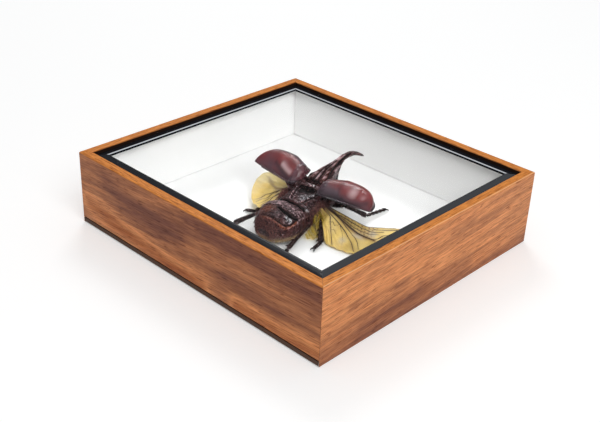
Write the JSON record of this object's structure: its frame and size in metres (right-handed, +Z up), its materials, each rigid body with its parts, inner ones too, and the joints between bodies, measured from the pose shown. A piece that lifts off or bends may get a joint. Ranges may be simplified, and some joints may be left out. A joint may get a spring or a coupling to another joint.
{
  "type": "mounted beetle in a glazed wooden display box",
  "caption": "Large horned beetle, wings spread, mounted on the white board of a shallow wooden display box under a glass lid held by black strips.",
  "frame": {"origin": "centre of the box's underside, where it rests", "axes": "+X across the box's longer side, to the right when its front rail is towards the viewer, +Y from its front rail to its back rail, +Z up, out through the glass"},
  "size_m": [0.2, 0.184, 0.048],
  "materials": {
    "varnished_wood": "reddish brown varnish, streaked grain",
    "black_strip": "black, slightly shiny",
    "dark_board": "dark hardboard, matt",
    "white_board": "white, matt",
    "clear_glass": "clear",
    "dark_shell": "very dark red-brown, rough sculpture with small glints",
    "red_brown_shell": "polished dark red-brown",
    "black_shell": "near black, hairy",
    "amber_membrane": "thin, amber, see-through, brown veins"
  },
  "bodies": {
    "root": {"rail_front": "varnished_wood", "rail_right": "varnished_wood", "rail_back": "varnished_wood", "rail_left": "varnished_wood", "strip_front": "black_strip", "strip_right": "black_strip", "strip_back": "black_strip", "strip_left": "black_strip", "base_board": "dark_board", "mount_board": "white_board", "liner_left": "white_board", "liner_right": "white_board", "liner_front": "white_board", "liner_back": "white_board", "glass": "clear_glass", "abdomen": "dark_shell", "thorax": "dark_shell", "pronotum": "dark_shell", "head": "dark_shell", "wing_case_left": "red_brown_shell", "wing_case_right": "red_brown_shell", "hindwing_left": "amber_membrane", "hindwing_right": "amber_membrane", "leg_front_left": "black_shell", "leg_front_right": "black_shell", "leg_mid_left": "black_shell", "leg_mid_right": "black_shell", "leg_hind_left": "black_shell", "leg_hind_right": "black_shell", "feeler_left": "black_shell", "feeler_right": "black_shell"}
  },
  "joints": []
}
